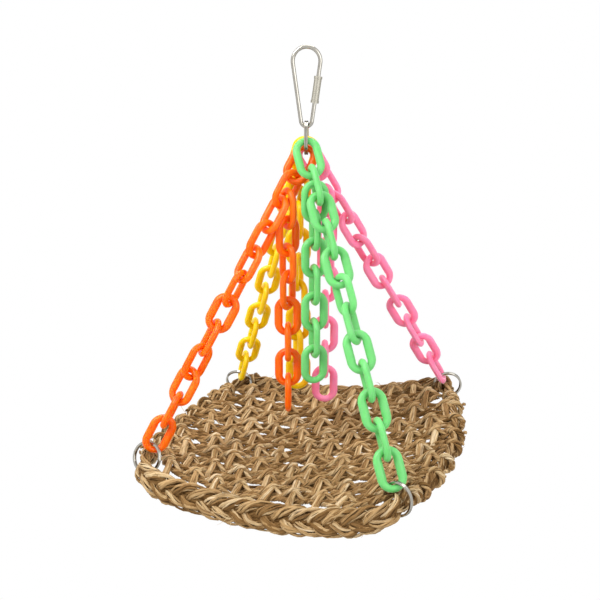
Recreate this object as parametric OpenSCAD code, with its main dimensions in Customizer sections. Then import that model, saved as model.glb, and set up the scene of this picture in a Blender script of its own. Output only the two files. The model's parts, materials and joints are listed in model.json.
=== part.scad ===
// Hanging grass mat toy for birds: a woven mat on four plastic chains, with loose chain ends inside.
// The origin is the inner top of the quick link's bow, where the toy hangs. Z is up.
// The mat's sides run along X and Y, and its front is at -Y.

/* [Quick link] */
// Wire thickness of the quick link
hook_wire = 2.6; // [2:0.1:4]
// Centre-line radius of the wide bow at the top
hook_top_r = 8.9; // [7:0.1:14]
// Centre-line radius of the narrow bow at the bottom
hook_low_r = 3.6; // [3.2:0.1:6]
// Distance between the centres of the two bows
hook_span = 37.4; // [30:0.1:60]
// Turn of the quick link about Z, against the mat
hook_turn = 18; // [0:1:30]
// Diameter of the screw sleeve
sleeve_d = 5.3; // [4.6:0.1:8]
// Length of the screw sleeve
sleeve_len = 17; // [14:0.5:24]
// Start of the sleeve, down the leg from the bow
sleeve_start = 8.2; // [8:0.1:12]
// Length of the gate's opening in the leg
gate_len = 6; // [5:0.5:8]
// Grip of the sleeve below the gate
gate_grip = 1.1; // [0.5:0.1:3]
// Width of the sleeve's end collars
collar_len = 1.6; // [0.5:0.1:3]
// Depth of the waist between the collars
waist_depth = 0.25; // [0.1:0.05:0.5]

/* [Split rings] */
// Outer diameter of the split rings
ring_od = 22; // [21:0.5:30]
// Thickness of the ring in the radius
ring_t = 1.5; // [1:0.1:2]
// Height of the two coils together
ring_w = 2.4; // [1.6:0.1:3]
// Bevel of each coil's edges
ring_bevel = 0.25; // [0.1:0.05:0.35]
// Corner ring turns about their chains: orange, green, pink, yellow
ring_roll = [140, 75, 110, 38];
// Slack of a corner ring on its last link
ring_slack = 0.9; // [0.5:0.1:2]

/* [Plastic links] */
// Length of one link
link_len = 28.1; // [28:0.1:28.6]
// Width of one link
link_w = 18.3; // [18:0.1:20]
// Thickness of a link's wire
link_wire = 4.3; // [3.8:0.05:4.4]
// Free play between two links of a chain
link_play = 1; // [0.8:0.1:1.4]

/* [Chains] */
// Links from the top ring to each corner: orange, green, pink, yellow
run_links = [12, 12, 11, 12];
// Angle round the top ring where each chain hangs, from the lowest point to the front
run_theta = [18.9, 57.5, -18.9, -57.5];
// Distance from each top link's end wire to the ring's wire
run_seat = [3.68, 4.43, 3.68, 4.43];
// Turn of each top link away from square on the ring
top_turn = [6.9, 2, 6.9, 2];
// Roll of the second links, which hold the loose ends
hook_roll = [-22.5, 22.7, -22.5, 22.7];
// Links with the odd turn below the fourth link
odd_links = [7, 3, 3, 0];
// The odd turn from one link to the next
odd_turn = [68, 60, -73, 90];

/* [Loose ends] */
// Seat of the loose end, up from the second link's lower wire
end_up = [11.2, 13.1, 11.2, 13.1];
// Seat of the loose end, in from the second link's middle line
end_in = [0.64, 0.2, 0.64, 0.2];
// Heading of the first loose link, from the quick link's plane
end_heading = [125.7, 17.2, 125.7, 17.2];
// Links with the odd turn below the third loose link
end_odd_links = [2, 0, 1, 3];
// The odd turn from one loose link to the next
end_odd_turn = [-62, 90, 60, 60];

/* [Mat] */
// Half the distance between the corner rings along X
corner_x = 88; // [70:1:120]
// Half the distance between the corner rings along Y
corner_y = 76; // [60:1:110]
// How far the border's front and back run beyond the rings
border_beyond = 11; // [10.5:0.5:16]
// Corner radius of the border's middle line
border_corner = 12; // [10:0.5:20]
// How far the left edge stands out between its rings
left_out = 8; // [0:1:15]
// How far the right edge stands out between its rings
right_out = 14; // [0:1:15]
// How far the front edge stands out between its rings
front_out = 9; // [0:1:15]
// Half width of the border plait
border_hw = 7.6; // [6:0.1:10]
// Half height of the border plait
border_hh = 7.4; // [5:0.1:10]
// Half width of the plait inside a corner ring
pinch_hw = 4.8; // [4:0.1:6]
// Half height of the plait inside a corner ring
pinch_hh = 3.9; // [3:0.1:5]
// Length of the pinch along the border
pinch_len = 15; // [8:1:20]
// Drop of the border's middle below the corner ring's centre
border_drop = 3; // [2.5:0.1:4]
// Sag of the front and back edges
sag_x = 12; // [0:1:25]
// Sag of the left and right edges
sag_y = 5; // [0:1:15]
// Thickness of the woven net
net_t = 4.2; // [3:0.1:6]
// Strips of the net each way
net_strips = 10; // [8:1:16]
// Share of the net's pitch that a strip fills
net_fill = 0.56; // [0.5:0.01:0.7]
// Room between the net and the border
net_room = 0.3; // [0.25:0.05:1]

/* [Hidden] */
// Clearance between pieces that move on each other
fit = 0.35;
$fn = 48;
// Direction across the quick link's plane and out of it
n_dir = [cos(hook_turn), sin(hook_turn), 0];
b_dir = [-sin(hook_turn), cos(hook_turn), 0];
z_dir = [0, 0, 1];
// Bows and legs of the quick link
bow_top_z = hook_wire / 2 - hook_top_r;
bow_low_z = bow_top_z - hook_span;
leg_lean = asin((hook_top_r - hook_low_r) / hook_span);
leg_len = hook_span * cos(leg_lean);
// Legs run a hair thinner than the bows and a little way into them
leg_wire = hook_wire - 0.02;
leg_sink = 0.05;
gate_start = sleeve_start + sleeve_len - gate_grip - gate_len;
// Top ring: its inner edge stays clear of the narrow bow while it slides along it
ring_ri = ring_od / 2 - ring_t;
ring_rm = ring_od / 2 - ring_t / 2;
bow_room = hook_low_r - hook_wire / 2 - fit;
ring_rise = sqrt(bow_room * bow_room - (ring_w / 2) * (ring_w / 2));
ring_z = bow_low_z - ring_rise - ring_ri;
ring_c = [0, 0, ring_z];
// Links: middle of the wire to middle of the link, and pitch of a taut chain
link_half = (link_len - link_wire) / 2;
link_rc = (link_w - link_wire) / 2;
link_leg = link_len - link_w;
pitch = link_len - 2 * link_wire - link_play;
// Corner rings hang this far below the last link's wire
ring_hang = ring_ri - ring_slack - link_wire / 2;
side_x = [-1, 1, 1, -1];
side_y = [-1, -1, 1, 1];

// Points and directions of chain k: 0 orange, 1 green, 2 pink, 3 yellow
function ring_point(k) = ring_c - ring_rm * (sin(run_theta[k]) * b_dir + cos(run_theta[k]) * z_dir);
function run_reach(k) = 2 * link_half - run_seat[k] + pitch * (run_links[k] - 1) + ring_hang + border_drop;
function run_out(k) = [side_x[k] * corner_x - ring_point(k).x, side_y[k] * corner_y - ring_point(k).y];
function run_fall(k) = sqrt(run_reach(k) * run_reach(k) - run_out(k) * run_out(k));
function run_dir(k) = [run_out(k).x, run_out(k).y, -run_fall(k)] / run_reach(k);
function run_az(k) = atan2(run_dir(k).y, run_dir(k).x);
function run_tilt(k) = acos(run_dir(k).z);
function local_x(k) = [
    cos(run_tilt(k)) * cos(run_az(k)),
    cos(run_tilt(k)) * sin(run_az(k)),
    -sin(run_tilt(k))
];
function local_y(k) = [-sin(run_az(k)), cos(run_az(k)), 0];
function run_at(k, s) = ring_point(k) + run_dir(k) * (s - run_seat[k]);
function link_at(k, j) = run_at(k, link_half + pitch * j);
function top_roll(k) = atan2(n_dir * local_y(k), n_dir * local_x(k)) + top_turn[k];
function odd_done(k, j) = min(max(j - 4, 0), odd_links[k]);
function run_roll(k, j) = hook_roll[k] + odd_turn[k] * odd_done(k, j) + 90 * (j - 1 - odd_done(k, j));
function ring_at(k) = run_at(k, 2 * link_half + pitch * (run_links[k] - 1) + ring_hang);
function corner_z(k) = ring_at(k).z + border_drop * run_dir(k).z;

// Points and headings of the loose ends
function end_seat(k) = run_at(k, 2 * link_half + pitch - end_up[k]) + end_in[k] * local_x(k);
function end_at(k, i) = end_seat(k) - (link_half + pitch * i) * z_dir;
function end_odd_done(k, i) = min(max(i - 2, 0), end_odd_links[k]);
function end_turn(k, i) = end_odd_turn[k] * end_odd_done(k, i) + 90 * (i - end_odd_done(k, i));
function end_az(k, i) = hook_turn + end_heading[k] + end_turn(k, i);

// Height of the mat's middle surface: straight between the corner rings, less the sag of its edges
function edge_mix(y, a, b) = a + (b - a) * (y + corner_y) / (2 * corner_y);
function left_z(y) = edge_mix(y, corner_z(0), corner_z(3));
function right_z(y) = edge_mix(y, corner_z(1), corner_z(2));
function flat_z(x, y) = left_z(y) + (right_z(y) - left_z(y)) * (x + corner_x) / (2 * corner_x);
function bow(t) = max(0, 1 - t * t);
function mat_z(x, y) = flat_z(x, y) - sag_x * bow(x / corner_x) - sag_y * bow(y / corner_y);

// Border's middle line: a rounded rectangle, as a point for each step round it
border_x = corner_x;
border_y = corner_y + border_beyond;
border_steps = 88;
border_sides = 12;
line_x = border_x - border_corner;
line_y = border_y - border_corner;
arc_len = PI * border_corner / 2;
line_len = 4 * line_x + 4 * line_y + 4 * arc_len;
function on_arc(cx, cy, a) = [cx + border_corner * cos(a), cy + border_corner * sin(a), a];
function on_quarter(s, w, h) =
    s < 2 * h ? [w + border_corner, s - h, 0]
    : s < 2 * h + arc_len ? on_arc(w, h, 90 * (s - 2 * h) / arc_len)
    : s < 2 * h + arc_len + 2 * w ? [w - (s - 2 * h - arc_len), h + border_corner, 90]
    : on_arc(-w, h, 90 + 90 * (s - 2 * h - arc_len - 2 * w) / arc_len);
half_line = line_len / 2;
function on_line(s) = s < half_line ? on_quarter(s, line_x, line_y)
    : let(p = on_quarter(s - half_line, line_x, line_y)) [-p.x, -p.y, p[2] + 180];
function near_ring(p) = norm([abs(p.x) - corner_x, abs(p.y) - corner_y]) / pinch_len;
function pinch(p) = exp(-near_ring(p) * near_ring(p));
function plait_hw(p) = border_hw + (pinch_hw - border_hw) * pinch(p);
function plait_hh(p) = border_hh + (pinch_hh - border_hh) * pinch(p);

// Edges of the mat stand out between the rings: the sides in a bow, the front where it is clear of them
net_x = border_x - border_hw - net_room;
net_y = border_y - border_hw - net_room;
function side_bow(p) = pow(bow(p.y / corner_y), 1.5);
function clear_of_rings(p) = pow(1 - pinch(p), 2);
function out_x(p) = (p.x > 0 ? right_out : -left_out) * min(1, abs(p.x) / net_x);
function out_y(p) = (p.y > 0 ? 0 : -front_out) * min(1, abs(p.y) / net_y);
function spread(p) = [p.x + side_bow(p) * out_x(p), p.y + clear_of_rings(p) * out_y(p)];
function plait_point(p, a) =
    let(c = spread(p) + plait_hw(p) * cos(a) * [cos(p[2]), sin(p[2])])
    [c.x, c.y, mat_z(p.x, p.y) + plait_hh(p) * sin(a)];

// Net: crossing strips with gaps between them, all on the mat's surface
net_lines = 2 * net_strips + 2;
net_gap = 1 - net_fill;
net_units = net_strips + net_gap;
function net_line(i) = 2 * (floor(i / 2) + (i % 2) * net_gap) / net_units - 1;
function net_top(i, j, s) =
    let(p = [net_x * net_line(i), net_y * net_line(j)], c = spread(p))
    [c.x, c.y, mat_z(p.x, p.y) + s * net_t / 2];
// The net is cut back beside each corner ring
net_last = net_lines - 2;
function net_notch(i, j) = (i == 0 || i == net_last) && (j == 1 || j == net_last - 1);
function net_inside(i, j) = i >= 0 && j >= 0 && i <= net_last && j <= net_last;
function net_full(i, j) = net_inside(i, j) && (i % 2 == 1 || j % 2 == 1) && !net_notch(i, j);
function low_at(i, j) = i * net_lines + j;
function top_at(i, j) = net_lines * net_lines + low_at(i, j);

// Colours of the four plastics, the metal and the grass
plastic = ["darkorange", "limegreen", "hotpink", "gold"];
metal = "silver";
grass = "tan";

// Bow of round wire in the XZ plane, from angle a0 on for a turn of a
module wire_bow(r, wire, a0, a) {
    rotate([90, 0, 0])
    rotate([0, 0, a0])
    rotate_extrude(angle = a)
    translate([r, 0])
    circle(d = wire);
}

// Frame of a leg of the quick link: Z runs down the leg from the top bow
module on_leg() {
    rotate([0, 0, hook_turn])
    translate([0, 0, bow_top_z])
    translate([hook_top_r * cos(leg_lean), 0, -hook_top_r * sin(leg_lean)])
    rotate([0, 180 + leg_lean, 0])
    children();
}

// Quick link: the steel loop with the open gate in its right leg
module quick_link_body() {
    color(metal) {
        rotate([0, 0, hook_turn]) {
            translate([0, 0, bow_top_z])
            wire_bow(hook_top_r, hook_wire, -leg_lean, 180 + 2 * leg_lean);
            translate([0, 0, bow_low_z])
            wire_bow(hook_low_r, hook_wire, 180 + leg_lean, 180 - 2 * leg_lean);
        }
        mirror(n_dir)
        on_leg()
        translate([0, 0, -leg_sink])
        cylinder(h = leg_len + 2 * leg_sink, d = leg_wire);
        on_leg() {
            translate([0, 0, -leg_sink])
            cylinder(h = gate_start + leg_sink, d = leg_wire);
            translate([0, 0, gate_start + gate_len])
            cylinder(h = leg_len - gate_start - gate_len + leg_sink, d = leg_wire);
        }
    }
}

// Quick link: the screw sleeve over the gate, waisted between two collars
module quick_link_sleeve() {
    color(metal)
    on_leg()
    translate([0, 0, sleeve_start])
    difference() {
        union() {
            cylinder(h = sleeve_len, d = sleeve_d - 2 * waist_depth);
            cylinder(h = collar_len, d = sleeve_d);
            translate([0, 0, sleeve_len - collar_len])
            cylinder(h = collar_len, d = sleeve_d);
        }
        translate([0, 0, -1])
        cylinder(h = sleeve_len + 2, d = hook_wire + 2 * fit);
    }
}

// Split ring about Z: two flat coils side by side with bevelled edges
module split_ring() {
    coil = ring_w / 2;
    rotate_extrude()
    for (s = [0, 1])
    translate([ring_ri, s * coil - coil])
    polygon([
        [ring_bevel, 0],
        [ring_t - ring_bevel, 0],
        [ring_t, ring_bevel],
        [ring_t, coil - ring_bevel],
        [ring_t - ring_bevel, coil],
        [ring_bevel, coil],
        [0, coil - ring_bevel],
        [0, ring_bevel]
    ]);
}

// Split ring on the quick link, square to the quick link's plane
module top_split_ring() {
    color(metal)
    translate(ring_c)
    rotate([0, 0, hook_turn])
    rotate([0, 90, 0])
    split_ring();
}

// Split ring at the lower end of chain k, round the mat's border
module corner_ring(k) {
    color(metal)
    translate(ring_at(k))
    rotate([0, run_tilt(k), run_az(k)])
    rotate([0, 0, ring_roll[k]])
    rotate([0, 90, 0])
    split_ring();
}

// One plastic link: a racetrack of round wire in the XZ plane, long along Z
module plastic_link() {
    translate([0, 0, link_leg / 2])
    wire_bow(link_rc, link_wire, 0, 180);
    translate([0, 0, -link_leg / 2])
    wire_bow(link_rc, link_wire, 180, 180);
    for (s = [-1, 1])
    translate([s * link_rc, 0, -link_leg / 2])
    cylinder(h = link_leg, d = link_wire);
}

// Link j of chain k, turned by its roll about the chain
module run_link(k, j, roll) {
    translate(link_at(k, j))
    rotate([0, run_tilt(k), run_az(k)])
    rotate([0, 0, roll])
    plastic_link();
}

// Link of chain k that hangs on the top ring
module top_link(k) {
    color(plastic[k])
    run_link(k, 0, top_roll(k));
}

// Loose links of chain k from the top link to the mat's corner
module support_links(k) {
    color(plastic[k])
    for (j = [1 : run_links[k] - 1])
    run_link(k, j, run_roll(k, j));
}

// Link i of the loose end of chain k, counted from one
module loose_link(k, i) {
    color(plastic[k])
    translate(end_at(k, i - 1))
    rotate([0, 0, end_az(k, i - 1)])
    plastic_link();
}

// Woven middle of the mat
module mat_net() {
    cells = [for (i = [0 : net_last], j = [0 : net_last]) if (net_full(i, j)) [i, j]];
    lows = [for (i = [0 : net_lines - 1], j = [0 : net_lines - 1]) net_top(i, j, -1)];
    tops = [for (i = [0 : net_lines - 1], j = [0 : net_lines - 1]) net_top(i, j, 1)];
    upper = [for (c = cells, t = [0, 1])
        t == 0 ? [top_at(c[0], c[1]), top_at(c[0] + 1, c[1] + 1), top_at(c[0] + 1, c[1])]
        : [top_at(c[0], c[1]), top_at(c[0], c[1] + 1), top_at(c[0] + 1, c[1] + 1)]];
    under = [for (c = cells, t = [0, 1])
        t == 0 ? [low_at(c[0], c[1]), low_at(c[0] + 1, c[1]), low_at(c[0] + 1, c[1] + 1)]
        : [low_at(c[0], c[1]), low_at(c[0] + 1, c[1] + 1), low_at(c[0], c[1] + 1)]];
    left = [for (c = cells, t = [0, 1]) if (!net_full(c[0] - 1, c[1]))
        t == 0 ? [low_at(c[0], c[1]), low_at(c[0], c[1] + 1), top_at(c[0], c[1] + 1)]
        : [low_at(c[0], c[1]), top_at(c[0], c[1] + 1), top_at(c[0], c[1])]];
    right = [for (c = cells, t = [0, 1]) if (!net_full(c[0] + 1, c[1]))
        t == 0 ? [low_at(c[0] + 1, c[1]), top_at(c[0] + 1, c[1] + 1), low_at(c[0] + 1, c[1] + 1)]
        : [low_at(c[0] + 1, c[1]), top_at(c[0] + 1, c[1]), top_at(c[0] + 1, c[1] + 1)]];
    front = [for (c = cells, t = [0, 1]) if (!net_full(c[0], c[1] - 1))
        t == 0 ? [low_at(c[0], c[1]), top_at(c[0] + 1, c[1]), low_at(c[0] + 1, c[1])]
        : [low_at(c[0], c[1]), top_at(c[0], c[1]), top_at(c[0] + 1, c[1])]];
    back = [for (c = cells, t = [0, 1]) if (!net_full(c[0], c[1] + 1))
        t == 0 ? [low_at(c[0], c[1] + 1), low_at(c[0] + 1, c[1] + 1), top_at(c[0] + 1, c[1] + 1)]
        : [low_at(c[0], c[1] + 1), top_at(c[0] + 1, c[1] + 1), top_at(c[0], c[1] + 1)]];
    color(grass)
    polyhedron(concat(lows, tops), concat(upper, under, left, right, front, back));
}

// Plaited border round the mat
module mat_border() {
    points = [for (i = [0 : border_steps - 1], j = [0 : border_sides - 1])
        plait_point(on_line(line_len * i / border_steps), 360 * j / border_sides)];
    faces = [for (i = [0 : border_steps - 1], j = [0 : border_sides - 1], t = [0, 1])
        let(i2 = (i + 1) % border_steps, j2 = (j + 1) % border_sides)
        t == 0 ? [i * border_sides + j, i * border_sides + j2, i2 * border_sides + j2]
        : [i * border_sides + j, i2 * border_sides + j2, i2 * border_sides + j]];
    color(grass)
    polyhedron(points, faces);
}

quick_link_body();
quick_link_sleeve();
top_split_ring();
corner_ring(0);  // orange_corner_ring
corner_ring(1);  // green_corner_ring
corner_ring(2);  // pink_corner_ring
corner_ring(3);  // yellow_corner_ring
top_link(0);  // orange_top_link
top_link(1);  // green_top_link
top_link(2);  // pink_top_link
top_link(3);  // yellow_top_link
support_links(0);  // orange_support_links
support_links(1);  // green_support_links
support_links(2);  // pink_support_links
support_links(3);  // yellow_support_links
loose_link(0, 1);  // orange_loose_1
loose_link(0, 2);  // orange_loose_2
loose_link(0, 3);  // orange_loose_3
loose_link(0, 4);  // orange_loose_4
loose_link(0, 5);  // orange_loose_5
loose_link(0, 6);  // orange_loose_6
loose_link(0, 7);  // orange_loose_7
loose_link(0, 8);  // orange_loose_8
loose_link(1, 1);  // green_loose_1
loose_link(1, 2);  // green_loose_2
loose_link(1, 3);  // green_loose_3
loose_link(1, 4);  // green_loose_4
loose_link(1, 5);  // green_loose_5
loose_link(1, 6);  // green_loose_6
loose_link(1, 7);  // green_loose_7
loose_link(2, 1);  // pink_loose_1
loose_link(2, 2);  // pink_loose_2
loose_link(2, 3);  // pink_loose_3
loose_link(2, 4);  // pink_loose_4
loose_link(2, 5);  // pink_loose_5
loose_link(2, 6);  // pink_loose_6
loose_link(2, 7);  // pink_loose_7
loose_link(2, 8);  // pink_loose_8
loose_link(3, 1);  // yellow_loose_1
loose_link(3, 2);  // yellow_loose_2
loose_link(3, 3);  // yellow_loose_3
loose_link(3, 4);  // yellow_loose_4
loose_link(3, 5);  // yellow_loose_5
loose_link(3, 6);  // yellow_loose_6
loose_link(3, 7);  // yellow_loose_7
loose_link(3, 8);  // yellow_loose_8
mat_net();
mat_border();
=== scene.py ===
"""Looks of the hanging grass mat toy: procedural materials for its metal and plastic pieces, moulded links in
place of the plain ones, and a plaited seagrass mat in place of the mat's two plain solids. Shapes are worked
out in millimetres in the part's own frame, and the meshes are in metres."""

import json
import math

import bpy
import numpy as np
from mathutils import Matrix, Vector


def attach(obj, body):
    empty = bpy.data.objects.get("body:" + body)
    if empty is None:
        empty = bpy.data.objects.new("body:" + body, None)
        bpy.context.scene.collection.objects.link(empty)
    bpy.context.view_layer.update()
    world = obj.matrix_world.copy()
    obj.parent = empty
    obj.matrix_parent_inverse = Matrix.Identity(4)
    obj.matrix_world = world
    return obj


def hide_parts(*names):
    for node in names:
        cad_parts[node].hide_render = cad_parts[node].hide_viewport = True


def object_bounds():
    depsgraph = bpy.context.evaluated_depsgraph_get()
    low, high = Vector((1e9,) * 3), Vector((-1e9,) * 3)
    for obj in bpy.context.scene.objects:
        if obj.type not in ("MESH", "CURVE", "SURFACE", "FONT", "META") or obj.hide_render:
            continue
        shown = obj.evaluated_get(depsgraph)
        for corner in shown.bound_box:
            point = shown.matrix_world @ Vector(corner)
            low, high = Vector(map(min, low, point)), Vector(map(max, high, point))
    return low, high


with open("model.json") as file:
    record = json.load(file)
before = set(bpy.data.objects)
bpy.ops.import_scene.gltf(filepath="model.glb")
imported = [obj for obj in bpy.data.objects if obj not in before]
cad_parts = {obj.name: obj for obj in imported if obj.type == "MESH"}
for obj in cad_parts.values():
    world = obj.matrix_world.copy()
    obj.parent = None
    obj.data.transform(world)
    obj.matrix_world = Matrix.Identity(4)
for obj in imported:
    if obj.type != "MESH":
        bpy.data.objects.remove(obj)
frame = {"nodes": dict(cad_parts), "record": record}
cad_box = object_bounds()
nodes = frame["nodes"]
bodies = frame["record"]["behaviour"]["bodies"]
BODY_OF = {member: body for body, members in bodies.items() for member in members}

SEED = 23
rng = np.random.default_rng(SEED)

MM = 0.001
UP = np.array([0.0, 0.0, 1.0])
TURN = 2 * np.pi
TINY = 1e-9

# Waves that add up to a wobble, against its wave length, and the size of their sum
WAVES, WAVE_SUM = (1.0, 1.9, 3.1), 1.9

# Mat, as the part's source has it (mm): the corner rings' places, the sag, how far the edges stand out
# between the rings and how that fades, half sizes of the net and of the border's middle line, the border's
# corner and its half width and height, and the length over which a ring pinches it
CORNER_X, CORNER_Y = 88.0, 76.0
FRONT_LEFT_Z, FRONT_RIGHT_Z = -268.44, -266.72
BACK_LEFT_Z, BACK_RIGHT_Z = -266.72, -246.87
SAG_X, SAG_Y = 12.0, 5.0
LEFT_OUT, RIGHT_OUT, FRONT_OUT = 8.0, 14.0, 9.0
SIDE_FADE, FRONT_FADE = 1.5, 2
NET_X, NET_Y = 80.1, 79.1
BORDER_X, BORDER_Y = 88.0, 87.0
BORDER_CORNER = 12.0
BORDER_HW, BORDER_HH = 7.6, 7.4
PINCH_LEN = 15.0

# Corner rings (mm): middle radius, half thickness and half width of the wire, room left round it, and the
# least depth in the wire that a point counts as having
RING_R, RING_T, RING_W = 10.25, 0.75, 1.2
RING_ROOM = 0.5
LEAST_DEPTH = 0.05

# Plastic links (mm): outer size and thickness, width of the wire at the bows and at the legs, the slimmer
# legs of the top links and where three links meet, the rise of the mould's parting band, the band's edges
# (radians round the section), and the points along a bow and round the section
LINK_LEN, LINK_W, LINK_THICK = 28.1, 18.3, 4.3
LINK_BOW, LINK_LEG = 4.3, 5.4
TOP_LEG, CROWDED_LEG = 5.0, 4.5
PARTING_RISE, PARTING_TURN = 0.14, (0.16, 0.2)
BOW_POINTS, SECTION_POINTS = 25, 24

# Blades and cords: the steps over which a blade's ends taper and the part of a step left at the tip, the
# stretch of the grain along a blade and its spread between blades, the plies of a cord, the blades of a ply
# and the angle between them, and the play of their width
TAPER_STEPS, TIP_PART = 2, 0.35
GRAIN_STRETCH, GRAIN_SPREAD = 0.1, 400
PLIES, PLY_BLADES, PLY_FAN = 2, 2, 1.15
PLY_WIDTH_PLAY = (0.8, 1.2)

# Kinds of cord (mm): from the cord's middle to a blade's middle, length of one twist, and size of a blade;
# the plait's core cords have a fixed dark tint, as painted shade inside the plait
ROW_CORD = {"reach": 1.25, "width": 2.3, "thick": 1.5}
ARM_CORD = {"reach": 0.95, "lay": 19.0, "width": 1.9, "thick": 1.3}
BRIDGE_CORD = {"reach": 1.0, "lay": 12.0, "width": 1.9, "thick": 1.4}
CORE_CORD_WITH_PAINTED_SHADE = {"reach": 1.4, "lay": 21.0, "width": 3.2, "thick": 2.4, "tint": 0.1}
END_CORD = {"reach": 1.3, "lay": 15.0, "width": 2.2, "thick": 1.6}
WRAP_CORD = {"reach": 1.1, "lay": 13.0, "width": 2.0, "thick": 1.5}

# Darkest and lightest blade of each layer, from 0 to 1: the rows, which lie under the knots, keep to the
# darker tones as painted shade
ROW_TONES_PAINTED_SHADE, KNOT_TONES, PLAIT_TONES = (0.0, 0.5), (0.3, 0.9), (0.05, 0.88)

# Rows of the weave (mm): how many, half the span that they fill, half a row's length, where the shorter
# front and back rows end, and the lift, spacing, bow and twist of their cords
ROWS = 9
ROW_Y, ROW_X = 66.0, 89.0
FRONT_ROW_LEFT, END_ROW_CUT = 68.0, 8.0
ROW_STEPS = 100
WEAVE_LIFT = 2.5
CORD_OFFSET, CORD_BOW = 4.5, 1.2
ROW_LAY, ROW_LAY_PLAY = 16.0, (0.85, 1.2)

# Knots (mm): spacing and columns, play of their place and height, rise above the rows, how far they keep
# from the sides, and how far inside the border's middle the lines beyond the first and the last row lie
STITCH_PITCH, STITCH_COLUMNS = 17.8, range(-6, 6)
STITCH_PLAY, KNOT_PLAY = 1.9, 0.6
KNOT_RISE = 4.0
KNOT_MARGIN, END_KNOT_MARGIN = 5.0, 14.0
FRONT_LINE, BACK_LINE = 4.0, 5.0

# Stem of a knot (mm): its lean, where it starts and ends past the rows, its drop and curve, and its blades'
# places, spacing at the top, spread, unevenness and size
STEM_LEAN, LEAN_PLAY = 2.2, 2.0
STEM_BEHIND, STEM_PAST = 1.2, 0.5
STEM_DROP, STEM_CURVE = 1.2, 1.5
STEM_PLACES = (-1.5, 0.0, 1.4)
STEM_CLOSE, STEM_SPREAD = 0.75, 0.35
STEM_UNEVEN, STEM_CROWN = 0.3, 0.3
STEM_WIDTHS, STEM_THICK = (1.5, 2.9), 1.6
STEM_STEPS = 14

# Arms of a knot (mm): start behind the far row, reach to the side and forwards, curve, drop, the dip of the
# tail past the knot, and the height and tail of the lower and the upper arm
ARM_BEHIND, ARM_CURVE = 1.4, 1.3
ARM_REACH, ARM_FORWARD = (8.0, 11.0), (3.5, 6.0)
ARM_DROP, TAIL_DIP = 0.8, 0.2
LOWER_ARM_LIFT, LOWER_ARM_TAIL = 0.2, -1.5
UPPER_ARM_LIFT, UPPER_ARM_TAIL = 1.0, (2.0, 4.2)
ARM_STEPS = 16

# Bridges (mm): how often a gap has one, its half length, slant, lift and the drop of its ends
BRIDGE_CHANCE = 0.4
BRIDGE_HALF, BRIDGE_SLANT = 7.5, (1.5, 4.0)
BRIDGE_LIFT, BRIDGE_DROP = 0.8, 1.6
BRIDGE_STEPS = 12

# Border plait (mm): length of one round, strands, tilt of its broad face, half width and depth of a strand's
# way, steps of a round, and its size along the sides, along the back and in the rings
PLAIT_PITCH, PLAIT_STRANDS = 56.0, 5
PLAIT_TILT = math.radians(18)
PLAIT_ACROSS, PLAIT_DEEP = 6.7, 3.0
PLAIT_STEPS = 32
SIDE_SHARE, BACK_SHARE, RING_SHARE = 0.58, 0.74, 0.72
GROWS_FROM, GROWS_OVER = 66.0, 14.0

# Blades of a plait strand (mm): how many, length of one twist, half width and half height of the bundle,
# size of a blade, how far it rolls with the twist, and the spacing of the core's cords
STRAND_BLADES, STRAND_LAY = 8, 55.0
STRAND_WIDE, STRAND_HIGH = 2.1, (1.2, 1.9)
STRAND_WIDTHS, STRAND_THICK = (1.2, 2.8), 1.1
STRAND_ROLL = 0.9
CORE_SPACING = 3.6

# Ends of the rows (mm): angles from over the side border to under it, room round it, play along it, and the
# lump outside: its way round, place along and out, half size, lift, lag of its height and blade
END_FROM, END_TO, END_STEPS = 2.7, -1.7, 22
END_ROOM_X, END_ROOM_Z = 0.9, 1.0
END_PLAY, END_SHIFT = 0.8, (-3.0, 3.0)
LUMP_ROUND, LUMP_STEPS = 0.9, 14
LUMP_ALONG, LUMP_OUT = (2.0, 5.0), (-0.3, 1.0)
LUMP_X, LUMP_Y, LUMP_Z = 1.3, 2.2, 1.7
LUMP_LIFT, LUMP_LAG = 1.0, 0.7
LUMP_WIDTHS, LUMP_THICK = (2.0, 3.0), 2.0
LUMP_FLAT = (0.3, 0.2, 1.0)

# Wraps (mm): turns round the border, advance along it in half a turn, and room round it
WRAP_ROUND, WRAP_ADVANCE, WRAP_ROOM = 1.1, 2.5, 0.3
WRAP_STEPS = 24

# Stray fibres (mm): how many, length, curl, size at the root and the tip, tint, angles round the border, pull
# outwards and scatter of their heading, start from the plait's middle, and how near to a ring they grow
FIBRES, FIBRE_STEPS = 80, 9
FIBRE_LENGTHS, FIBRE_CURL = (3.5, 7.0), 0.35
FIBRE_WIDTH, FIBRE_THICK = (0.5, 0.15), (0.4, 0.12)
FIBRE_FLAT = (0.3, 0.2, 0.9)
FIBRE_TINTS = (0.5, 1.0)
FIBRE_ANGLES = (-0.9, 1.6)
FIBRE_PULL, FIBRE_SCATTER = 0.6, 0.5
FIBRE_START, FIBRE_NEAR_RING = 7.0, 0.3

# Colours: full and deep colour of each plastic, looks of the two plated steels, and the grass: blades from
# dark to light, streaks along a blade, and a wash over several
PLASTIC_COLOURS = {
    "orange": ((1.0, 0.17, 0.002), (0.98, 0.14, 0.001)),
    "green": ((0.19, 0.6, 0.2), (0.16, 0.55, 0.17)),
    "pink": ((1.0, 0.285, 0.46), (0.95, 0.235, 0.39)),
    "yellow": ((0.84, 0.6, 0.001), (0.78, 0.54, 0.001)),
}
LEAST_SCATTER = 0.15
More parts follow.
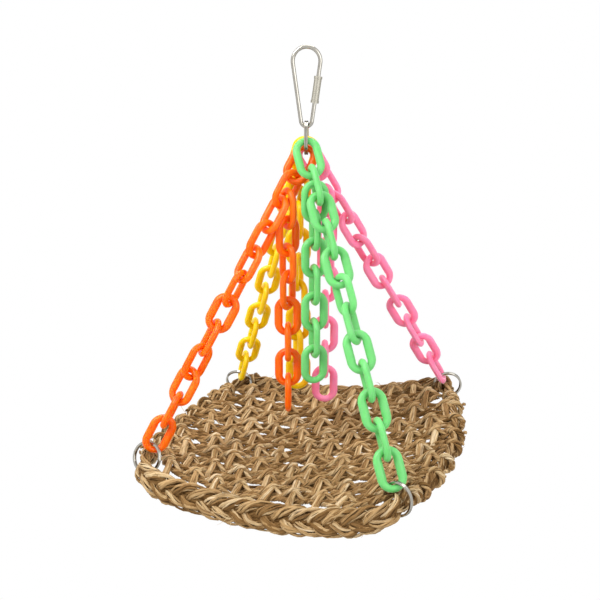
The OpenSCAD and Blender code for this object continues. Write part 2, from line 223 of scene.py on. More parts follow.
# The steels' edge colours, near black on the wire and darker on the sleeve, are a painted dark reflection
# where the metal turns away
WIRE_LOOK = {
    "dull": (0.4, 0.38, 0.335),
    "bright": (0.5, 0.48, 0.43),
    "smooth": 0.1,
    "rough": 0.2,
    "edge": (0.05, 0.045, 0.04),
}
SLEEVE_LOOK = {
    "dull": (0.4, 0.38, 0.32),
    "bright": (0.44, 0.42, 0.36),
    "smooth": 0.4,
    "rough": 0.48,
    "edge": (0.25, 0.23, 0.2),
}
BLADE_COLOURS = [
    (0.0, (0.12, 0.058, 0.013)),
    (0.25, (0.28, 0.155, 0.055)),
    (0.6, (0.45, 0.29, 0.13)),
    (0.82, (0.54, 0.39, 0.21)),
    (1.0, (0.76, 0.61, 0.4)),
]
STREAKS = [(0.32, (0.21, 0.145, 0.075)), (0.5, (1.0, 1.0, 1.0)), (0.75, (1.34, 1.52, 1.95))]
WASH = [(0.3, (0.78, 0.74, 0.7)), (0.7, (1.1, 1.1, 1.08))]

# Stage (m): drop and half size of the floor, its colour, the sky's strength, and the lamps: place from the
# object's middle, width and power
FLOOR_DROP, FLOOR_REACH = 0.42, 6.0
FLOOR_COLOUR = (0.82, 0.82, 0.82, 1)
SKY_STRENGTH = 0.7
LAMPS = {
    "key": ((-0.5, -0.7, 0.8), 0.8, 13.0),
    "fill": ((0.9, -0.5, 0.3), 1.0, 5.0),
    "top": ((-0.1, 0.4, 1.0), 0.8, 7.0),
}

# Camera at the photograph's angle: focal length in picture widths, its two angles, the height of the top ring
# that it looks past, and its distance and offsets from there (mm)
FOCAL = 850.0 / 600.0
AZIMUTH, ELEVATION = math.radians(20.5), math.radians(15.3)
RING_Z = -56.04
DISTANCE, OFFSET_RIGHT, OFFSET_UP = 558.0, -4.2, -106.5
CLIP_END = 100.0


def steps(low, high, count):
    """Count evenly spaced numbers from low to high."""
    return np.linspace(low, high, count)


def wobble(s, size, length):
    """Smooth random offset along s, of about that size and wave length."""
    out = np.zeros_like(s)
    for k in WAVES:
        out += np.sin(TURN * s * k / length + rng.uniform(0, TURN)) / k
    return size * out / WAVE_SUM


def unit(v):
    """Vectors made one long."""
    return v / np.maximum(np.linalg.norm(v, axis=-1, keepdims=True), TINY)


def lengths(path):
    """Length along a path at each of its points."""
    return np.concatenate([[0.0], np.cumsum(np.linalg.norm(np.diff(path, axis=0), axis=1))])


def bow(t):
    """An arch from 0 at -1 up to 1 at 0 and down to 0 at 1."""
    return np.maximum(0, 1 - t * t)


# The mat's surface


def mat_z(x, y):
    """Height of the mat's middle surface."""
    across, along = (x / CORNER_X + 1) / 2, (y / CORNER_Y + 1) / 2
    front = FRONT_LEFT_Z + (FRONT_RIGHT_Z - FRONT_LEFT_Z) * across
    back = BACK_LEFT_Z + (BACK_RIGHT_Z - BACK_LEFT_Z) * across
    return front + (back - front) * along - SAG_X * bow(x / CORNER_X) - SAG_Y * bow(y / CORNER_Y)


def pinch(x, y):
    """How near a point is to a corner ring: 1 inside the ring, 0 away from it."""
    near = np.hypot(np.abs(x) - CORNER_X, np.abs(y) - CORNER_Y) / PINCH_LEN
    return np.exp(-near * near)


def stand_out(x, y):
    """Moves a point of the plain rectangle to the mat, whose edges stand out between the rings."""
    side = bow(y / CORNER_Y) ** SIDE_FADE * np.minimum(1, np.abs(x) / NET_X)
    front = (1 - pinch(x, y)) ** FRONT_FADE * np.minimum(1, np.abs(y) / NET_Y)
    return x + side * np.where(x > 0, RIGHT_OUT, -LEFT_OUT), y - front * np.where(y > 0, 0, FRONT_OUT)


def on_mat(x, y, lift):
    """Points at that height over the mat's middle surface."""
    px, py = stand_out(x, y)
    return np.stack([px, py, mat_z(x, y) + lift], axis=-1)


# Strands of grass, gathered into one mesh


def ring_frame(name):
    """Middle and axis of a ring's solid."""
    points = np.array([v.co for v in nodes[name].data.vertices]) / MM
    centre = points.mean(axis=0)
    return centre, np.linalg.svd(points - centre, full_matrices=False)[2][2]


RINGS = [ring_frame(colour + "_corner_ring") for colour in PLASTIC_COLOURS]


def clear_of_rings(points):
    """Pushes points out of the corner rings' wire, as grass gives way to it."""
    for centre, axis in RINGS:
        q = points - centre
        high = q @ axis
        flat = q - high[:, None] * axis
        far = np.linalg.norm(flat, axis=1)
        depth = np.hypot((far - RING_R) / (RING_T + RING_ROOM), high / (RING_W + RING_ROOM))
        grow = 1 / np.clip(depth, LEAST_DEPTH, 1)
        new_far = RING_R + (far - RING_R) * grow
        flat = flat * (new_far / np.maximum(far, TINY))[:, None]
        points = centre + flat + (high * grow)[:, None] * axis
    return points


def path_frame(path, ref):
    """A path's points, and the directions across it and up towards ref at each."""
    path = np.asarray(path, float)
    ref = np.broadcast_to(np.asarray(ref, float), path.shape)
    tangent = unit(np.gradient(path, axis=0))
    side = unit(np.cross(tangent, ref))
    return path, side, np.cross(side, tangent)


class Grass:
    """Collects swept blades and makes one mesh of them, with the grain and tint of each blade."""

    def __init__(self, tones):
        self.verts, self.faces, self.grain, self.tint = [], [], [], []
        self.count = 0
        self.tones = tones

    def blade(self, path, width, thick, ref=UP, sides=6, tint=None):
        """Sweeps a flat oval along path. ref gives the oval's thin direction."""
        path, side, rise = path_frame(path, ref)
        n = len(path)
        ends = np.minimum(np.arange(n), np.arange(n)[::-1])
        shrink = np.clip((ends + TIP_PART) / TAPER_STEPS, 0, 1) ** 0.5
        angle = steps(0, TURN, sides + 1)[:-1]
        a = (np.broadcast_to(width, (n,)) / 2 * shrink)[:, None] * np.cos(angle)
        b = (np.broadcast_to(thick, (n,)) / 2 * shrink)[:, None] * np.sin(angle)
        ring = path[:, None] + a[..., None] * side[:, None] + b[..., None] * rise[:, None]
        along = np.broadcast_to(lengths(path)[:, None], a.shape)
        grain = np.stack([along * GRAIN_STRETCH, a, b], axis=-1) + rng.uniform(0, GRAIN_SPREAD, 3)
        index = self.count + np.arange(n * sides).reshape(n, sides)
        after = np.roll(index, -1, 1)
        quads = np.stack([index[:-1], after[:-1], after[1:], index[1:]], axis=-1)
        self.verts.append(ring.reshape(-1, 3))
        self.grain.append(grain.reshape(-1, 3))
        self.tint.append(np.full(n * sides, rng.uniform(*self.tones) if tint is None else tint))
        self.faces += quads.reshape(-1, 4).tolist()
        self.faces += [index[0, ::-1].tolist(), index[-1].tolist()]
        self.count += n * sides

    def cord(self, path, reach, lay, width, thick, ref=UP, tint=None):
        """Twists plies of blades round path. reach is from the path to the middle of a blade."""
        path, side, rise = path_frame(path, ref)
        along = lengths(path)
        start = rng.uniform(0, TURN)
        for ply in range(PLIES):
            for b in range(PLY_BLADES):
                angle = start + TURN * (ply / PLIES + along / lay) + PLY_FAN * (b - (PLY_BLADES - 1) / 2)
                angle = (angle + wobble(along, size=0.2, length=23.0))[:, None]
                radial = np.cos(angle) * side + np.sin(angle) * rise
                out = (reach * (1 + wobble(along, size=0.12, length=13.0)))[:, None]
                wide = width * rng.uniform(*PLY_WIDTH_PLAY)
                self.blade(path + out * radial, wide, thick, ref=radial, tint=tint)

    def build(self, name, material):
        """Makes the object of all blades so far."""
        points = clear_of_rings(np.concatenate(self.verts))
        mesh = bpy.data.meshes.new(name)
        mesh.from_pydata((points * MM).tolist(), [], self.faces)
        grain = mesh.attributes.new("grain", "FLOAT_VECTOR", "POINT")
        grain.data.foreach_set("vector", np.concatenate(self.grain).astype(np.float32).ravel())
        tint = mesh.attributes.new("tint", "FLOAT", "POINT")
        tint.data.foreach_set("value", np.concatenate(self.tint).astype(np.float32))
        return placed(name, mesh, material)


# Materials


def new_material(name):
    """A material with its node tree and its shader."""
    material = bpy.data.materials.new(name)
    material.use_nodes = True
    return material, material.node_tree, material.node_tree.nodes["Principled BSDF"]


def link(tree, a, b):
    """Joins two sockets."""
    tree.links.new(a, b)


def settings(node, **inputs):
    """Sets plain values on a node's own sockets."""
    for key, value in inputs.items():
        node.inputs[key.replace("_", " ")].default_value = value


def add(tree, kind, **inputs):
    """A new node with those values on its sockets."""
    node = tree.nodes.new(kind)
    settings(node, **inputs)
    return node


def ramp(tree, value, stops):
    """Colour that goes with a value from stop to stop."""
    node = tree.nodes.new("ShaderNodeValToRGB")
    elements = node.color_ramp.elements
    while len(elements) < len(stops):
        elements.new(0.5)
    for element, (place, colour) in zip(elements, stops):
        element.position = place
        element.color = (*colour, 1)
    link(tree, value, node.inputs["Fac"])
    return node.outputs["Color"]


def noise(tree, vector, scale, detail=3.0, rough=0.55):
    """Soft random value from 0 to 1 at each place."""
    node = add(tree, "ShaderNodeTexNoise", Scale=scale, Detail=detail, Roughness=rough)
    link(tree, vector, node.inputs["Vector"])
    return node.outputs["Fac"]


def between(tree, value, low, high):
    """A value from 0 to 1 brought between low and high."""
    node = add(tree, "ShaderNodeMapRange", To_Min=low, To_Max=high)
    link(tree, value, node.inputs["Value"])
    return node.outputs["Result"]


def multiply(tree, a, b):
    """Product of two colours."""
    node = tree.nodes.new("ShaderNodeMix")
    node.data_type = "RGBA"
    node.blend_type = "MULTIPLY"
    node.inputs["Factor"].default_value = 1.0
    link(tree, a, node.inputs["A"])
    link(tree, b, node.inputs["B"])
    return node.outputs["Result"]


def bump(tree, height, strength, distance, shader):
    """Fine relief of that height on a shader."""
    node = add(tree, "ShaderNodeBump", Strength=strength, Distance=distance)
    link(tree, height, node.inputs["Height"])
    link(tree, node.outputs["Normal"], shader.inputs["Normal"])


def attribute(tree, name):
    """Node that reads a mesh attribute."""
    node = tree.nodes.new("ShaderNodeAttribute")
    node.attribute_name = name
    return node


def plastic(name, colour, deep):
    """Semi-gloss moulded plastic with a faint flow in its colour and a fine moulded skin."""
    material, tree, shader = new_material(name)
    place = tree.nodes.new("ShaderNodeTexCoord").outputs["Object"]
    flow = noise(tree, place, scale=90.0, detail=2.0)
    link(tree, ramp(tree, flow, [(0.3, deep), (0.75, colour)]), shader.inputs["Base Color"])
    skin = noise(tree, place, scale=1500.0, detail=4.0)
    link(tree, between(tree, skin, low=0.22, high=0.38), shader.inputs["Roughness"])
    bump(tree, skin, strength=0.1, distance=0.0002, shader=shader)
    scatter = tuple(max(part, LEAST_SCATTER) for part in colour)
    settings(shader, Subsurface_Weight=0.8, Subsurface_Radius=scatter, Subsurface_Scale=0.006)
    settings(shader, IOR=1.49, Specular_IOR_Level=0.3)
    return material


def nickel(name, dull, bright, smooth, rough, edge):
    """Plated steel: a warm grey with faint drawn marks, and a darker edge colour where it turns away, as a
    painted dark reflection.
    """
    material, tree, shader = new_material(name)
    place = tree.nodes.new("ShaderNodeTexCoord").outputs["Object"]
    marks = noise(tree, place, scale=260.0)
    link(tree, ramp(tree, marks, [(0.3, dull), (0.7, bright)]), shader.inputs["Base Color"])
    link(tree, between(tree, marks, smooth, rough), shader.inputs["Roughness"])
    bump(tree, noise(tree, place, scale=700.0), strength=0.03, distance=0.0001, shader=shader)
    # The edge colour darkens the grazing reflections: painted dark reflection
    settings(shader, Metallic=1.0, Specular_Tint=(*edge, 1))
    return material


def seagrass():
    """Dry grass blades: streaks along each blade, and a tint from blade to blade."""
    material, tree, shader = new_material("seagrass_blades")
    grain = attribute(tree, "grain").outputs["Vector"]
    tint = attribute(tree, "tint").outputs["Fac"]
    fibres = noise(tree, grain, scale=0.9, detail=5.0, rough=0.65)
    patches = noise(tree, grain, scale=0.35, detail=2.0)
    blade = ramp(tree, tint, BLADE_COLOURS)
    streak = ramp(tree, fibres, STREAKS)
    wash = ramp(tree, patches, WASH)
    colour = multiply(tree, multiply(tree, blade, streak), wash)
    link(tree, colour, shader.inputs["Base Color"])
    link(tree, between(tree, fibres, low=0.55, high=0.85), shader.inputs["Roughness"])
    bump(tree, fibres, strength=0.7, distance=0.0006, shader=shader)
    settings(shader, Specular_IOR_Level=0.12)
    return material


PLASTICS = {
    colour: plastic(colour + "_plastic_skin", full, deep) for colour, (full, deep) in PLASTIC_COLOURS.items()
}
WIRE = nickel("nickel_wire", **WIRE_LOOK)
SLEEVE = nickel("nickel_sleeve", **SLEEVE_LOOK)
GRASS = seagrass()


def dress(obj, material):
    """Gives an object its one material and smooth shading."""
    obj.data.materials.clear()
    obj.data.materials.append(material)
    obj.data.polygons.foreach_set("use_smooth", [True] * len(obj.data.polygons))


def placed(name, mesh, material):
    """An object of a mesh, dressed and in the scene."""
    obj = bpy.data.objects.new(name, mesh)
    bpy.context.scene.collection.objects.link(obj)
    dress(obj, material)
    return obj


# Plastic links, with legs broader than the plain links' wire


def solids(obj):
    """Points of each separate solid of a node, the highest solid first."""
    points = np.array([v.co for v in obj.data.vertices]) / MM
    points, place = np.unique(np.round(points, 3), axis=0, return_inverse=True)
    ends = np.array([edge.vertices[:] for edge in obj.data.edges])
    a, b = place.ravel()[ends].T
    group = np.arange(len(points))
    before = None
    while not np.array_equal(group, before):
        before = group.copy()
        lowest = np.minimum(group[a], group[b])
        np.minimum.at(group, a, lowest)
        np.minimum.at(group, b, lowest)
        group = group[group]
    return sorted((points[group == g] for g in np.unique(group)), key=lambda part: -part[:, 2].mean())


def moulded_link(points, leg):
    """Points and faces of a link in place of a plain one: same outside, with legs that wide in its plane."""
    axes = np.linalg.svd(points - points.mean(axis=0), full_matrices=False)[2]
    axes[2] *= np.sign(np.linalg.det(axes))
    span = points @ axes.T
    centre = (span.max(axis=0) + span.min(axis=0)) / 2
    half_turn = steps(0, np.pi, BOW_POINTS)
    heading = np.concatenate([half_turn, half_turn + np.pi])[:, None]
    bow_middle = np.repeat([1, -1], len(half_turn))[:, None] * (LINK_LEN - LINK_W) / 2
    wide = leg - (leg - LINK_BOW) * np.abs(np.sin(heading))
    parting = [middle + side * edge for middle in (0, np.pi) for side in (-1, 1) for edge in PARTING_TURN]
    turn = np.sort(np.mod(np.concatenate([steps(0, TURN, SECTION_POINTS + 1)[:-1], parting]), TURN))
    ridge = PARTING_RISE * (np.abs(np.sin(turn)) < np.sin(np.mean(PARTING_TURN)))
    out = LINK_W / 2 - wide / 2 + (wide / 2 + ridge) * np.cos(turn)
    along, across = bow_middle + out * np.sin(heading), out * np.cos(heading)
    up = np.broadcast_to(-LINK_THICK / 2 * np.sin(turn), out.shape)
    verts = (np.stack([along, across, up], axis=-1).reshape(-1, 3) + centre) @ axes
    index = np.arange(out.size).reshape(out.shape)
    ahead = np.roll(index, -1, 0)
    quads = np.stack([index, ahead, np.roll(ahead, -1, 1), np.roll(index, -1, 1)], axis=-1)
    return verts, quads.reshape(-1, 4)


def leg_width(node_name, place):
    """Width of the legs of a node's link at that place from the top."""
    if node_name.endswith("loose_1") or (node_name.endswith("support_links") and place == 0):
        return CROWDED_LEG
    return TOP_LEG if node_name.endswith("top_link") else LINK_LEG


def moulded_links(node_name, colour):
    """One piece with the links of a node."""
    verts, faces, count = [], [], 0
    for place, points in enumerate(solids(nodes[node_name])):
        link_verts, link_faces = moulded_link(points, leg_width(node_name, place))
        verts.append(link_verts)
        faces.append(link_faces + count)
        count += len(link_verts)
    mesh = bpy.data.meshes.new(node_name + "_moulded")
    mesh.from_pydata((np.concatenate(verts) * MM).tolist(), [], np.concatenate(faces).tolist())
    piece = placed(node_name + "_moulded", mesh, PLASTICS[colour])
    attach(piece, BODY_OF[node_name])
    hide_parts(node_name)


for node_name, node_object in nodes.items():
    colour = node_name.split("_")[0]
    if colour in PLASTICS and not node_name.endswith("corner_ring"):
        moulded_links(node_name, colour)
    elif not node_name.startswith("mat_"):
        dress(node_object, SLEEVE if node_name == "quick_link_sleeve" else WIRE)


# The weave: rows of three twisted cords, with knots that tie each row to the next


def row(grass, y, reach_left, reach_right, shift_near, shift_far):
    """One row: its outer cords bow out at the knots, which leaves gaps between them."""
    x = steps(-reach_left, reach_right, ROW_STEPS)
    sway_y = wobble(x, size=1.3, length=70.0)
    sway_z = wobble(x, size=0.8, length=38.0)
    for place, shift in ((-1, shift_near), (0, 0.0), (1, shift_far)):
        out = CORD_OFFSET + CORD_BOW * np.cos(TURN * (x - shift) / STITCH_PITCH)
        out = out + wobble(x, size=0.9, length=41.0)
        lift = WEAVE_LIFT + sway_z + wobble(x, size=0.6, length=21.0)
        path = on_mat(x, y + sway_y + place * out, lift)
        grass.cord(path, lay=ROW_LAY * rng.uniform(*ROW_LAY_PLAY), **ROW_CORD)


def arm(grass, x, far, top, start, end):
    """A cord of the far row that runs from beside a knot at x over it, and down to the row."""
    u = steps(start, end, ARM_STEPS)
    away = np.clip(u / end, 0, 1)
    y = far + ARM_BEHIND - rng.uniform(*ARM_FORWARD) * away**ARM_CURVE
    tail = TAIL_DIP * np.maximum(0, -u * np.sign(end))
    lift = top - (KNOT_RISE + ARM_DROP) * away * away * (3 - 2 * away) - tail
    grass.cord(on_mat(x + u, y, lift), **ARM_CORD)


def stitch(grass, x, near, far):
    """One knot: a stem down to the near row, and arms that climb to it along the far row from both sides."""
    t = steps(0, 1, STEM_STEPS)
    top = WEAVE_LIFT + KNOT_RISE + rng.normal(0, KNOT_PLAY)
    lean = STEM_LEAN * (0.5 - x / CORNER_X) + rng.normal(0, LEAN_PLAY)
    stem_y = far + STEM_BEHIND - t * (far - near + STEM_PAST)
    stem_lift = top - (KNOT_RISE + STEM_DROP) * t**STEM_CURVE
    for k in STEM_PLACES:
        stem_x = x + lean * t + k * (STEM_CLOSE + STEM_SPREAD * t) + wobble(t, size=0.35, length=1.1)
        rise = rng.uniform(-STEM_UNEVEN, STEM_UNEVEN) - STEM_CROWN * abs(k)
        grass.blade(on_mat(stem_x, stem_y, stem_lift + rise), rng.uniform(*STEM_WIDTHS), STEM_THICK, sides=5)
    arm(grass, x, far, top + LOWER_ARM_LIFT, LOWER_ARM_TAIL, rng.uniform(*ARM_REACH))
    arm(grass, x, far, top + UPPER_ARM_LIFT, rng.uniform(*UPPER_ARM_TAIL), -rng.uniform(*ARM_REACH))


def bridge(grass, x, near, far):
    """A short cord that lies slanting across the gap between two rows, and closes it."""
    t = steps(-1, 1, BRIDGE_STEPS)
    y = (near + far) / 2 + rng.uniform(*BRIDGE_SLANT) * t * rng.choice([-1, 1])
    lift = WEAVE_LIFT + BRIDGE_LIFT - BRIDGE_DROP * t**4
    grass.cord(on_mat(x + BRIDGE_HALF * t, y, lift), **BRIDGE_CORD)


row_y = steps(-ROW_Y, ROW_Y, ROWS)
lines = np.concatenate([[-BORDER_Y + FRONT_LINE], row_y, [BORDER_Y - BACK_LINE]])
shifts = [STITCH_PITCH / 2 * (j % 2) for j in range(len(lines))]
# The rows take the darker tones: painted shade under the knots
weave = Grass(ROW_TONES_PAINTED_SHADE)
knots = Grass(KNOT_TONES)
for j, y in enumerate(row_y):
    right = ROW_X - END_ROW_CUT if j in (0, ROWS - 1) else ROW_X
    left = FRONT_ROW_LEFT if j == 0 else right
    row(weave, y, left, right, shifts[j], shifts[j + 1])
weave.tones = KNOT_TONES
for j in range(len(lines) - 1):
    reach = ROW_X - (END_KNOT_MARGIN if j in (0, ROWS) else KNOT_MARGIN)
    for c in STITCH_COLUMNS:
        x = c * STITCH_PITCH + shifts[j] + rng.normal(0, STITCH_PLAY)
        gap_x = x + STITCH_PITCH / 2
        if abs(x) < reach:
            stitch(knots, x, lines[j], lines[j + 1])
        if abs(gap_x) < reach and rng.uniform() < BRIDGE_CHANCE:
            bridge(weave, gap_x, lines[j], lines[j + 1])


# The border: a flat plait, with the ends of the rows looped over its sides

LINE_X, LINE_Y = BORDER_X - BORDER_CORNER, BORDER_Y - BORDER_CORNER
ARC = math.pi * BORDER_CORNER / 2
LINE = 4 * LINE_X + 4 * LINE_Y + 4 * ARC


def border_line(s):
    """Point and heading of the outward normal at length s round the plain rectangle's border."""
    s = np.mod(s, LINE)
    half = s >= LINE / 2
    s = np.where(half, s - LINE / 2, s)
    x, y, a = np.zeros_like(s), np.zeros_like(s), np.zeros_like(s)
    side_end, corner_end, back_end = np.cumsum([2 * LINE_Y, ARC, 2 * LINE_X])
    m = s < side_end
    x[m], y[m] = BORDER_X, s[m] - LINE_Y
    m = (s >= side_end) & (s < corner_end)
    a[m] = (s[m] - side_end) / BORDER_CORNER
    x[m], y[m] = LINE_X + BORDER_CORNER * np.cos(a[m]), LINE_Y + BORDER_CORNER * np.sin(a[m])
    m = (s >= corner_end) & (s < back_end)
    a[m] = np.pi / 2
    x[m], y[m] = LINE_X - (s[m] - corner_end), BORDER_Y
    m = s >= back_end
    a[m] = np.pi / 2 + (s[m] - back_end) / BORDER_CORNER
    x[m], y[m] = -LINE_X + BORDER_CORNER * np.cos(a[m]), LINE_Y + BORDER_CORNER * np.sin(a[m])
    flip = np.where(half, -1.0, 1.0)
    return x * flip, y * flip, a + np.where(half, np.pi, 0.0)


def outward(a, far, high):
    """Points that far out along heading a and that high, from the border's middle."""
    return np.stack([far * np.cos(a), far * np.sin(a), high], axis=-1)


def plait_share(x, y):
    """Size of the plait against its full size: pinched inside the rings, fullest along the front."""
    front = np.clip((-y - GROWS_FROM) / GROWS_OVER, 0, 1)
    back = np.clip((y - GROWS_FROM) / GROWS_OVER, 0, 1)
    share = SIDE_SHARE + (1 - SIDE_SHARE) * front + (BACK_SHARE - SIDE_SHARE) * back
    return np.minimum(1 - (1 - RING_SHARE) * pinch(x, y), share)


def plait_middle(x, y, a):
    """Middle of the plait: a thin plait keeps to the border's outer edge where it is clear of the rings."""
    out = (1 - plait_share(x, y)) * BORDER_HW * (1 - pinch(x, y))
    return on_mat(x, y, 0.0) + outward(a, out, np.zeros_like(a))


def plait_frame(s):
    """Middle of the plait, the direction up its broad face, the face's outward normal, and its size."""
    x, y, a = border_line(s)
    out = outward(a, 1.0, np.zeros_like(a))
    rise = math.cos(PLAIT_TILT) * UP - math.sin(PLAIT_TILT) * out
    face = math.cos(PLAIT_TILT) * out + math.sin(PLAIT_TILT) * UP
    return plait_middle(x, y, a), rise, face, plait_share(x, y)[:, None]


rounds = round(LINE / PLAIT_PITCH)
pitch = LINE / rounds
border = Grass(PLAIT_TONES)
edge = Grass(PLAIT_TONES)
s = steps(0, LINE, rounds * PLAIT_STEPS + 1)
middle, rise, face, size = plait_frame(s)
for k in range(PLAIT_STRANDS):
    phase = -TURN * (s / pitch + k / PLAIT_STRANDS) + wobble(s, size=0.2, length=83.0)
    across = (PLAIT_ACROSS * np.cos(phase) + wobble(s, size=0.6, length=41.0))[:, None]
    deep = (PLAIT_DEEP * np.sin(2 * phase) + wobble(s, size=0.4, length=37.0))[:, None]
    core, side, lift = path_frame(middle + size * (across * rise + deep * face), face)
    roll = rng.uniform(0, TURN)
    for b in range(STRAND_BLADES):
        twist = roll + TURN * (b / STRAND_BLADES + s / STRAND_LAY)
        twist = (twist + wobble(s, size=0.6, length=31.0))[:, None]
        radial = np.cos(twist) * side * STRAND_WIDE + np.sin(twist) * lift * rng.uniform(*STRAND_HIGH)
        stray_side = wobble(s, size=0.6, length=15.0)[:, None] * side
        stray_up = wobble(s, size=0.4, length=19.0)[:, None] * lift
        path = core + size * (radial + stray_side + stray_up)
        wide = size[:, 0] * rng.uniform(*STRAND_WIDTHS)
        border.blade(path, wide, size[:, 0] * STRAND_THICK, ref=lift + STRAND_ROLL * radial)
# Core cords along the plait's middle, in a dark tint as painted shade between its strands
for k in (-1, 0, 1):
    edge.cord(middle + k * size * (CORE_SPACING * rise), **CORE_CORD_WITH_PAINTED_SHADE)


def row_end(grass, side, y):
    """The end of a row: a twisted loop over the side border that tucks under it, with a lump outside."""
    angle = steps(END_FROM, END_TO, END_STEPS)
    half_way = END_STEPS // 2
    yy = y + rng.normal(0, END_PLAY) + wobble(angle, size=0.8, length=4.0)
    x = np.full_like(yy, side * BORDER_X)
    share = plait_share(x, yy)
    middle = plait_middle(x, yy, np.where(x > 0, 0.0, np.pi))
    reach_x, reach_z = BORDER_HW * share + END_ROOM_X, BORDER_HH * share + END_ROOM_Z
    path = middle + np.stack([side * reach_x * np.cos(angle), 0 * yy, reach_z * np.sin(angle)], axis=-1)
    grass.cord(path, ref=(0.0, 1.0, 0.0), **END_CORD)
    turn = steps(0, TURN * LUMP_ROUND, LUMP_STEPS)
    along = rng.uniform(*LUMP_ALONG) * rng.choice([-1, 1]) + LUMP_Y * np.sin(turn)
    out = side * (reach_x[half_way] + rng.uniform(*LUMP_OUT) + LUMP_X * np.cos(turn))
    lump = np.stack([out, along, LUMP_LIFT + LUMP_Z * np.sin(turn + LUMP_LAG)], axis=-1)
    grass.blade(middle[half_way] + lump, rng.uniform(*LUMP_WIDTHS), LUMP_THICK, ref=LUMP_FLAT)


for side in (-1, 1):
    for y in row_y[1:-1]:
        row_end(edge, side, y + rng.uniform(*END_SHIFT))


def wrap(grass, s):
    """A cord wound once round the border at length s."""
    angle = steps(0, TURN * WRAP_ROUND, WRAP_STEPS) + rng.uniform(0, TURN)
    x, y, a = border_line(s + WRAP_ADVANCE * (angle - angle.mean()) / np.pi)
    share = plait_share(x, y)
    out = (BORDER_HW * share + WRAP_ROOM) * np.cos(angle)
    up = (BORDER_HH * share + WRAP_ROOM) * np.sin(angle)
    heading = np.stack([-np.sin(a), np.cos(a), 0 * a], axis=-1)
    grass.cord(plait_middle(x, y, a) + outward(a, out, up), ref=heading, **WRAP_CORD)


# Wraps beside each corner ring, as lengths along the border from it

front_right = LINE_Y - CORNER_Y
back_right = LINE_Y + CORNER_Y
WRAPS = (
    (front_right, (12.0, 17.0)),
    (back_right, (-17.0, -12.0, 11.0, 17.0)),
    (front_right + LINE / 2, (-17.0, -11.0, 12.0, 17.0)),
    (back_right + LINE / 2, (-17.0, -12.0)),
)
for corner, places in WRAPS:
    for place in places:
        wrap(edge, corner + place)


def stray_fibre(grass, start, heading):
    """A thin loose fibre that curls away from the mat."""
    t = steps(0, 1, FIBRE_STEPS)[:, None]
    length = rng.uniform(*FIBRE_LENGTHS)
    path = start + length * (t * heading + t * t * rng.normal(0, FIBRE_CURL, 3))
    width, thick = steps(*FIBRE_WIDTH, FIBRE_STEPS), steps(*FIBRE_THICK, FIBRE_STEPS)
    flat = np.cross(heading, FIBRE_FLAT)
    grass.blade(path, width, thick, ref=flat, sides=4, tint=rng.uniform(*FIBRE_TINTS))


for k in range(FIBRES):
    x, y, a = border_line(np.array([rng.uniform(0, LINE)]))
    angle = rng.uniform(*FIBRE_ANGLES)
    out = outward(a[0], math.cos(angle), math.sin(angle))
    heading = unit(out * FIBRE_PULL + rng.normal(0, FIBRE_SCATTER, 3))
    if pinch(x, y)[0] < FIBRE_NEAR_RING:
        stray_fibre(edge, plait_middle(x, y, a)[0] + out * FIBRE_START * plait_share(x, y)[0], heading)

for grass, name, node_name in (
    (weave, "seagrass_weave", "mat_net"),
    (knots, "seagrass_knots", "mat_net"),
    (border, "seagrass_border", "mat_border"),
    (edge, "seagrass_edge", "mat_border"),
):
    piece = grass.build(name, GRASS)
    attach(piece, "hanger")
    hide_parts(node_name)


# Stage, light and camera


def white_for_camera(tree, shader_socket, output_node):
    """Mixes in plain white where the camera, or a reflection, sees the surface."""
    path = tree.nodes.new("ShaderNodeLightPath")
    white = add(tree, "ShaderNodeEmission", Strength=1.0)
    seen = path.outputs["Is Camera Ray"]
    for name in ("Is Glossy Ray", "Is Transmission Ray"):
        top = tree.nodes.new("ShaderNodeMath")
        top.operation = "MAXIMUM"
        link(tree, seen, top.inputs[0])
        link(tree, path.outputs[name], top.inputs[1])
        seen = top.outputs["Value"]
    mix = tree.nodes.new("ShaderNodeMixShader")
    link(tree, seen, mix.inputs["Fac"])
    link(tree, shader_socket, mix.inputs[1])
    link(tree, white.outputs["Emission"], mix.inputs[2])
    link(tree, mix.outputs["Shader"], tree.nodes[output_node].inputs["Surface"])


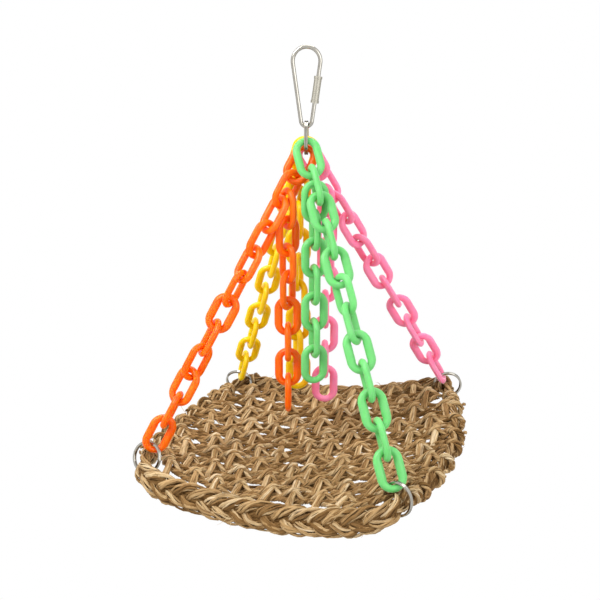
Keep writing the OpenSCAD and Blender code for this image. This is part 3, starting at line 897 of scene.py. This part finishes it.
low, high = Vector(cad_box[0]), Vector(cad_box[1])
centre = (low + high) / 2
floor_z = low.z - FLOOR_DROP
floor_corners = [(x * FLOOR_REACH, y * FLOOR_REACH, floor_z) for x, y in ((-1, -1), (1, -1), (1, 1), (-1, 1))]
floor_mesh = bpy.data.meshes.new("floor")
floor_mesh.from_pydata(floor_corners, [], [(0, 1, 2, 3)])
floor = bpy.data.objects.new("floor", floor_mesh)
bpy.context.scene.collection.objects.link(floor)
floor_material, floor_tree, floor_shader = new_material("floor_white")
settings(floor_shader, Base_Color=FLOOR_COLOUR, Roughness=0.9)
white_for_camera(floor_tree, floor_shader.outputs["BSDF"], "Material Output")
floor_mesh.materials.append(floor_material)

world = bpy.data.worlds.new("studio")
bpy.context.scene.world = world
world.use_nodes = True
sky = world.node_tree.nodes["Background"]
settings(sky, Color=(1, 1, 1, 1), Strength=SKY_STRENGTH)
white_for_camera(world.node_tree, sky.outputs["Background"], "World Output")


def softbox(name, place, aim, width, power):
    """A round soft lamp that faces aim."""
    light = bpy.data.lights.new(name, "AREA")
    light.shape = "DISK"
    light.size = width
    light.energy = power
    obj = bpy.data.objects.new(name, light)
    obj.location = place
    obj.rotation_euler = (aim - place).to_track_quat("-Z", "Y").to_euler()
    bpy.context.scene.collection.objects.link(obj)


for name, (offset, width, power) in LAMPS.items():
    softbox(name, centre + Vector(offset), centre, width, power)

back = Vector((
    math.sin(AZIMUTH) * math.cos(ELEVATION),
    -math.cos(AZIMUTH) * math.cos(ELEVATION),
    math.sin(ELEVATION),
))
right = Vector((math.cos(AZIMUTH), math.sin(AZIMUTH), 0))
upward = back.cross(right)
eye = Vector((0, 0, RING_Z)) + right * OFFSET_RIGHT + upward * OFFSET_UP + back * DISTANCE
camera_data = bpy.data.cameras.new("camera")
camera_data.lens = camera_data.sensor_width * FOCAL
camera_data.clip_end = CLIP_END
camera = bpy.data.objects.new("camera", camera_data)
camera.matrix_world = Matrix.Translation(eye * MM) @ Matrix((right, upward, back)).transposed().to_4x4()
bpy.context.scene.collection.objects.link(camera)
bpy.context.scene.camera = camera
bpy.context.scene.view_settings.view_transform = "Standard"
